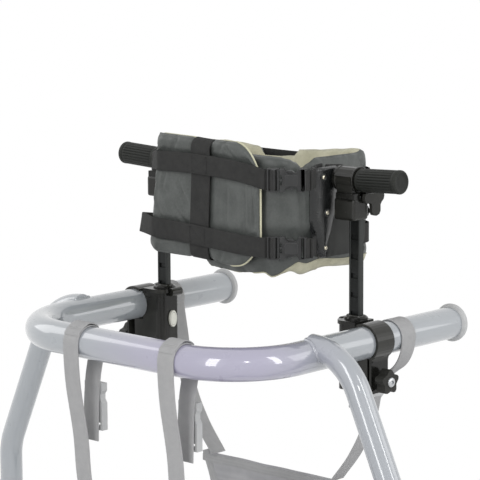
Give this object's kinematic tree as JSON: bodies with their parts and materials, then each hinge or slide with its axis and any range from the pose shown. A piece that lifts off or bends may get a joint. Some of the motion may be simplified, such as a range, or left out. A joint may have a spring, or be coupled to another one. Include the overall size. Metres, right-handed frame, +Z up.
{
  "type": "gait trainer",
  "caption": "Wheeled walking frame with a U-shaped handle tube, splayed telescopic legs, swivel casters, a padded trunk support on rail clamps, hand grips and a hanging hip sling.",
  "frame": {"origin": "on the floor, under the middle of the whole object's box", "axes": "+Z up; -Y is the closed front with the crossbar of the handle tube; +Y is the open end where the user walks in; +X is to the right in the picture"},
  "size_m": [0.7246, 0.805, 0.8742],
  "materials": {
    "frame_paint": "gloss",
    "grey_plastic": "satin",
    "black_plastic": "satin",
    "caster_plastic": "satin",
    "tyre": "matte",
    "steel": "satin",
    "clamp_gloss": "gloss",
    "white_plastic": "satin",
    "post_anodised": "satin",
    "grip_rubber": "matte",
    "pad_cover": "satin",
    "black_webbing": "matte",
    "buckle_plastic": "satin",
    "pale_webbing": "matte",
    "sling_cloth": "matte"
  },
  "bodies": {
    "base": {"base_frame": "frame_paint", "leg_sleeve_left": "frame_paint", "leg_sleeve_right": "frame_paint"},
    "caster_front_left": {"caster_fork_front_left": "caster_plastic", "caster_axle_front_left": "steel"},
    "caster_front_right": {"caster_fork_front_right": "caster_plastic", "caster_axle_front_right": "steel"},
    "caster_rear_left": {"caster_fork_rear_left": "caster_plastic", "caster_axle_rear_left": "steel"},
    "caster_rear_right": {"caster_fork_rear_right": "caster_plastic", "caster_axle_rear_right": "steel"},
    "wheel_front_left": {"caster_wheel_front_left": "tyre"},
    "wheel_front_right": {"caster_wheel_front_right": "tyre"},
    "wheel_rear_left": {"caster_wheel_rear_left": "tyre"},
    "wheel_rear_right": {"caster_wheel_rear_right": "tyre"},
    "brake_left": {"caster_brake_rear_left": "caster_plastic"},
    "brake_right": {"caster_brake_rear_right": "caster_plastic"},
    "height_screw_left": {"height_knob_left": "black_plastic"},
    "height_screw_right": {"height_knob_right": "black_plastic"},
    "top_frame": {"handle_tube": "frame_paint", "arm_cap_left": "grey_plastic", "arm_cap_right": "grey_plastic", "leg_upper_left": "frame_paint", "leg_upper_right": "frame_paint", "sling_strap_front_left": "pale_webbing", "sling_strap_front_right": "pale_webbing", "sling_strap_rear_left": "pale_webbing", "sling_strap_rear_right": "pale_webbing", "sling_seat": "sling_cloth", "sling_buckle_left": "grey_plastic", "sling_buckle_right": "grey_plastic"},
    "carriage": {"clamp_housing_left": "clamp_gloss", "clamp_housing_right": "clamp_gloss", "clamp_band_left": "clamp_gloss", "clamp_band_right": "clamp_gloss"},
    "clamp_screw_left": {"clamp_knob_left": "black_plastic"},
    "clamp_screw_right": {"clamp_knob_right": "black_plastic"},
    "button_left": {"release_button_left": "white_plastic"},
    "button_right": {"release_button_right": "white_plastic"},
    "trunk_support": {"post_left": "post_anodised", "post_right": "post_anodised", "head_bracket_left": "clamp_gloss", "head_bracket_right": "clamp_gloss", "grip_left": "grip_rubber", "grip_right": "grip_rubber", "side_plate_left": "clamp_gloss", "side_plate_right": "clamp_gloss", "trunk_pad_wrap": "pad_cover", "trunk_pad_flap": "pad_cover", "upper_strap": "black_webbing", "lower_strap": "black_webbing", "cross_strap": "black_webbing", "buckle_plug_upper": "buckle_plastic", "buckle_plug_lower": "buckle_plastic"},
    "wing_screw_left": {"wing_knob_left": "black_plastic"},
    "wing_screw_right": {"wing_knob_right": "black_plastic"},
    "lock_screw_left": {"lock_knob_left": "black_plastic"},
    "lock_screw_right": {"lock_knob_right": "black_plastic"},
    "buckle_upper": {"buckle_body_upper": "buckle_plastic"},
    "buckle_lower": {"buckle_body_lower": "buckle_plastic"}
  },
  "joints": [
    {"name": "swivel_front_left", "type": "hinge", "parent": "base", "child": "caster_front_left", "pos_m": [-0.325, -0.375, 0.172], "axis": [0, 0, 1], "continuous": true},
    {"name": "swivel_front_right", "type": "hinge", "parent": "base", "child": "caster_front_right", "pos_m": [0.325, -0.375, 0.172], "axis": [0, 0, 1], "continuous": true},
    {"name": "swivel_rear_left", "type": "hinge", "parent": "base", "child": "caster_rear_left", "pos_m": [-0.325, 0.305, 0.172], "axis": [0, 0, 1], "continuous": true},
    {"name": "swivel_rear_right", "type": "hinge", "parent": "base", "child": "caster_rear_right", "pos_m": [0.325, 0.305, 0.172], "axis": [0, 0, 1], "continuous": true},
    {"name": "roll_front_left", "type": "hinge", "parent": "caster_front_left", "child": "wheel_front_left", "pos_m": [-0.325, -0.34, 0.0625], "axis": [1, 0, 0], "continuous": true},
    {"name": "roll_front_right", "type": "hinge", "parent": "caster_front_right", "child": "wheel_front_right", "pos_m": [0.325, -0.34, 0.0625], "axis": [1, 0, 0], "continuous": true},
    {"name": "roll_rear_left", "type": "hinge", "parent": "caster_rear_left", "child": "wheel_rear_left", "pos_m": [-0.325, 0.34, 0.0625], "axis": [1, 0, 0], "continuous": true},
    {"name": "roll_rear_right", "type": "hinge", "parent": "caster_rear_right", "child": "wheel_rear_right", "pos_m": [0.325, 0.34, 0.0625], "axis": [1, 0, 0], "continuous": true},
    {"name": "brake_pedal_left", "type": "hinge", "parent": "caster_rear_left", "child": "brake_left", "pos_m": [-0.325, 0.362, 0.1385], "axis": [-1, 0, 0], "range_deg": [0, 16]},
    {"name": "brake_pedal_right", "type": "hinge", "parent": "caster_rear_right", "child": "brake_right", "pos_m": [0.325, 0.362, 0.1385], "axis": [-1, 0, 0], "range_deg": [0, 16]},
    {"name": "height_knob_turn_left", "type": "hinge", "parent": "base", "child": "height_screw_left", "pos_m": [-0.35, -0.113, 0.347], "axis": [-1, 0, 0], "range_deg": [0, 720]},
    {"name": "height_knob_turn_right", "type": "hinge", "parent": "base", "child": "height_screw_right", "pos_m": [0.35, -0.113, 0.347], "axis": [1, 0, 0], "range_deg": [0, 720]},
    {"name": "height_slide", "type": "slide", "parent": "base", "child": "top_frame", "axis": [0, 0, 1], "range_m": [-0.025, 0.1]},
    {"name": "carriage_slide", "type": "slide", "parent": "top_frame", "child": "carriage", "axis": [0, 1, 0], "range_m": [-0.07, 0]},
    {"name": "clamp_knob_turn_left", "type": "hinge", "parent": "carriage", "child": "clamp_screw_left", "pos_m": [-0.2045, -0.009, 0.5957], "axis": [-1, 0, 0], "range_deg": [0, 720]},
    {"name": "clamp_knob_turn_right", "type": "hinge", "parent": "carriage", "child": "clamp_screw_right", "pos_m": [0.2045, -0.009, 0.5957], "axis": [1, 0, 0], "range_deg": [0, 720]},
    {"name": "button_press_left", "type": "slide", "parent": "carriage", "child": "button_left", "axis": [-1, 0, 0], "range_m": [0, 0.0028], "stiffness_N_per_m": 150},
    {"name": "button_press_right", "type": "slide", "parent": "carriage", "child": "button_right", "axis": [1, 0, 0], "range_m": [0, 0.0028], "stiffness_N_per_m": 150},
    {"name": "trunk_lift", "type": "slide", "parent": "carriage", "child": "trunk_support", "axis": [0, 0, 1], "range_m": [-0.045, 0.0675]},
    {"name": "wing_knob_turn_left", "type": "hinge", "parent": "trunk_support", "child": "wing_screw_left", "pos_m": [-0.1686, 0.0137, 0.8035], "axis": [1, 0, 0], "range_deg": [0, 60]},
    {"name": "wing_knob_turn_right", "type": "hinge", "parent": "trunk_support", "child": "wing_screw_right", "pos_m": [0.1686, 0.0137, 0.8035], "axis": [1, 0, 0], "range_deg": [0, 60]},
    {"name": "lock_knob_turn_left", "type": "hinge", "parent": "trunk_support", "child": "lock_screw_left", "pos_m": [-0.158, 0.009, 0.787], "axis": [0, 1, 0], "range_deg": [0, 720]},
    {"name": "lock_knob_turn_right", "type": "hinge", "parent": "trunk_support", "child": "lock_screw_right", "pos_m": [0.158, 0.009, 0.787], "axis": [0, 1, 0], "range_deg": [0, 720]},
    {"name": "buckle_release_upper", "type": "slide", "parent": "trunk_support", "child": "buckle_upper", "axis": [0.788, 0.6157, 0], "range_m": [0, 0.018]},
    {"name": "buckle_release_lower", "type": "slide", "parent": "trunk_support", "child": "buckle_lower", "axis": [0.788, 0.6157, 0], "range_m": [0, 0.018]}
  ]
}
